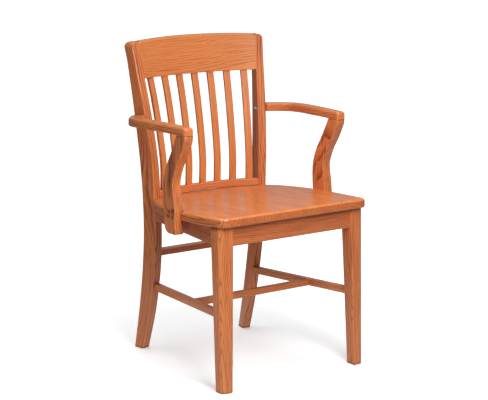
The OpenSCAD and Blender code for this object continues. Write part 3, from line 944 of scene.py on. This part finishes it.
def arm_support(side):
    heel = 20.0

    def section(z):
        rear = hermite(SUPPORT_REAR, z)
        up = z - SUPPORT_LOW
        if up < heel:
            rear -= heel - math.sqrt(heel**2 - (heel - up)**2)
        return (hermite(SUPPORT_FRONT, z), rear, 0.0, SUPPORT_T, (3.0, 3.0, 3.0, 3.0))

    def place(z, y, t):
        return (-SUPPORT_OUT + t, y, z)

    def grain(z, y, t):
        return (z, t - 13, y * 0.6)

    low = [SUPPORT_LOW + heel * (1 - math.cos(math.radians(a))) for a in range(0, 91, 9)]
    stations = low + spread(SUPPORT_LOW + heel + 3, SUPPORT_TOP, 44)
    obj = sided("arm_support_visual", side, stations, section, place, grain, ends=(2.0, 0), sides=2)
    holes = cutter(f"plug_holes_{side}", -1 if side == "left" else 1)
    boolean = obj.modifiers.new("plug holes", "BOOLEAN")
    boolean.object = holes
    boolean.operation = "DIFFERENCE"
    boolean.solver = "EXACT"
    obj.modifiers.move(len(obj.modifiers) - 1, 0)
    bpy.context.view_layer.update()
    bake_modifier(obj, boolean, holes)
    show(obj, f"arm_support_{side}", oak_bold)


def cutter(name, sign):
    """The two cylinders that bore the plug holes of one side; half of each lies in the wood."""
    bm = bmesh.new()
    for y, z in PLUGS:
        turn = Matrix.Rotation(math.radians(90), 4, "Y")
        place = Matrix.Translation(Vector((sign * SUPPORT_OUT, y + DATUM_Y, z)) * MM)
        bmesh.ops.create_cone(bm, cap_ends=True, segments=32, radius1=PLUG_R * MM, radius2=PLUG_R * MM,
                              depth=2 * PLUG_HOLE * MM, matrix=place @ turn)
    mesh = bpy.data.meshes.new(name)
    bm.to_mesh(mesh)
    bm.free()
    obj = bpy.data.objects.new(name, mesh)
    bpy.context.collection.objects.link(obj)
    return obj


def bake_modifier(obj, modifier, helper):
    """Applies one modifier and removes the object it used."""
    with bpy.context.temp_override(object=obj, active_object=obj, selected_objects=[obj]):
        bpy.ops.object.modifier_apply(modifier=modifier.name)
    bpy.data.objects.remove(helper, do_unlink=True)
    for poly in obj.data.polygons:
        poly.use_smooth = True


# ------------------------------------------------------------------ the chair
for side in ("left", "right"):
    back_post(side)
    front_leg(side)
    side_apron(side)
    side_stretcher(side)
    arm(side)
    arm_support(side)
crest_rail()
lower_back_rail()
for number in range(SLATS):
    slat(number)
seat()
front_apron()
back_apron()
cross_stretcher()
rear_stretcher()

for node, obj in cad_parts.items():
    if "screw" in node:
        finish = steel
    elif "plug" in node:
        finish = oak_plug_painted_shade
    elif "block" in node or "dowel" in node:
        finish = oak_block
    else:
        continue
    obj.data.materials.clear()
    obj.data.materials.append(finish)
    soften(obj, 1.1 if "post" in node else 0.6)

# ------------------------------------------------------------------ floor, light and camera
FLOOR = 400.0                                         # half of its width, in metres
FLOOR_Z = -0.0002                                     # just below the feet


def floor():
    mesh = bpy.data.meshes.new("floor")
    corners = ((-FLOOR, -FLOOR), (FLOOR, -FLOOR), (FLOOR, FLOOR), (-FLOOR, FLOOR))
    mesh.from_pydata([(x, y, FLOOR_Z) for x, y in corners], [], [(0, 1, 2, 3)])
    obj = bpy.data.objects.new("floor", mesh)
    bpy.context.collection.objects.link(obj)
    mat = bpy.data.materials.new("pale floor")
    mat.use_nodes = True
    shader = mat.node_tree.nodes["Principled BSDF"]
    shader.inputs["Base Color"].default_value = (0.91, 0.935, 0.945, 1)
    shader.inputs["Roughness"].default_value = 0.9
    shader.inputs["Specular IOR Level"].default_value = 0.1
    shader.inputs["Emission Color"].default_value = (0.985, 0.992, 1, 1)
    # painted shadow: the floor glows less near the chair, a painted shade pool under it, and more away
    # from it
    nodes, links = mat.node_tree.nodes, mat.node_tree.links
    place = nodes.new("ShaderNodeTexCoord")
    away = nodes.new("ShaderNodeVectorMath")
    away.operation = "LENGTH"
    links.new(place.outputs["Object"], away.inputs[0])
    shadow_pool_glow = nodes.new("ShaderNodeMapRange")
    shadow_pool_glow.interpolation_type = "SMOOTHSTEP"
    shadow_pool_glow.inputs["From Min"].default_value = 0.2
    shadow_pool_glow.inputs["From Max"].default_value = 1.1
    shadow_pool_glow.inputs["To Min"].default_value = 0.30
    shadow_pool_glow.inputs["To Max"].default_value = 0.62
    links.new(away.outputs["Value"], shadow_pool_glow.inputs["Value"])
    links.new(shadow_pool_glow.outputs[0], shader.inputs["Emission Strength"])
    obj.data.materials.append(mat)
    obj.visible_diffuse = False
    obj.visible_glossy = False


def sun(name, toward, strength, angle):
    """A soft sun that shines from the direction toward."""
    data = bpy.data.lights.new(name, "SUN")
    data.energy = strength
    data.angle = math.radians(angle)
    obj = bpy.data.objects.new(name, data)
    obj.rotation_euler = Vector(toward).to_track_quat("Z", "Y").to_euler()
    bpy.context.collection.objects.link(obj)


def softbox(name, place, aim, size, power):
    """A rectangular light at place that faces aim and is hidden from the camera."""
    data = bpy.data.lights.new(name, "AREA")
    data.shape = "RECTANGLE"
    data.size, data.size_y = size
    data.energy = power
    obj = bpy.data.objects.new(name, data)
    obj.location = place
    obj.rotation_euler = (Vector(place) - Vector(aim)).to_track_quat("Z", "Y").to_euler()
    obj.visible_camera = False
    bpy.context.collection.objects.link(obj)
    return obj


def studio():
    softbox("key", (-0.32, -1.35, 1.5), (0, 0, 0.45), (0.7, 1.1), 30)
    low = softbox("low fill", (-1.7, -0.6, 0.08), (0, 0, 0.05), (1.2, 0.25), 7)
    low.visible_glossy = False
    softbox("floor bounce", (-0.1, -0.1, 0.004), (-0.1, -0.1, 1.0), (1.8, 1.5), 3.2)
    shine = softbox("backdrop shine", (1.9, 2.7, 1.2), (0, 0, 0.45), (4.0, 2.0), 4.2)
    shine.visible_diffuse = False
    sun("top", (-0.05, 0.25, 1.0), 1.6, 70)
    world = bpy.data.worlds.new("studio")
    world.use_nodes = True
    back = world.node_tree.nodes["Background"]
    back.inputs["Color"].default_value = (0.97, 0.98, 1.0, 1)
    back.inputs["Strength"].default_value = 0.14
    bpy.context.scene.world = world


def camera():
    """Three-quarter view from the front left, a little above the arms."""
    azimuth, elevation, distance = math.radians(-35.43), math.radians(11.58), 4.08165
    pan, lift = math.radians(0.05), 0.0085            # small corrections to where it looks
    target = Vector((0.0, DATUM_Y * MM, 0.425))
    out = Vector((math.sin(azimuth) * math.cos(elevation), -math.cos(azimuth) * math.cos(elevation),
                  math.sin(elevation)))
    data = bpy.data.cameras.new("camera")
    data.sensor_width = 36.0
    data.lens = 114.17
    obj = bpy.data.objects.new("camera", data)
    obj.location = target + out * distance
    look = Matrix.Rotation(pan, 4, "Z") @ (target + Vector((0, 0, lift)) - obj.location)
    obj.rotation_euler = look.to_track_quat("-Z", "Y").to_euler()
    bpy.context.collection.objects.link(obj)
    bpy.context.scene.camera = obj


floor()
studio()
camera()
bpy.context.scene.view_settings.view_transform = "Standard"
